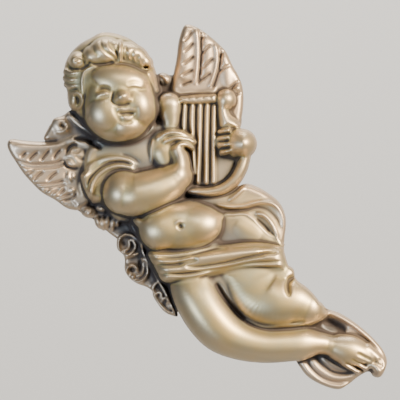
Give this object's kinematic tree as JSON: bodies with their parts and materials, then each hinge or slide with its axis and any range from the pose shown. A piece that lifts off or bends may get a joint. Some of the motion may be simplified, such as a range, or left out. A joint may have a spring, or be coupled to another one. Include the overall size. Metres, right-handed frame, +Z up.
{
  "type": "cherub wall plaque",
  "caption": "Flat-backed relief wall plaque of a winged cherub that plays a lyre, with trailing drapery and openwork scrolls, in antique gold.",
  "frame": {"origin": "on the flat back at the wall, behind the middle of the figure's body", "axes": "+Z up along the wall, +X to the right as seen from the front, the figure faces -Y and its flat back faces +Y"},
  "size_m": [0.1516, 0.0297, 0.1457],
  "materials": {
    "antique_gold": "satin antique-gold paint, worn darker in the hollows"
  },
  "bodies": {
    "root": {"cherub_plaque": "antique_gold"}
  },
  "joints": []
}
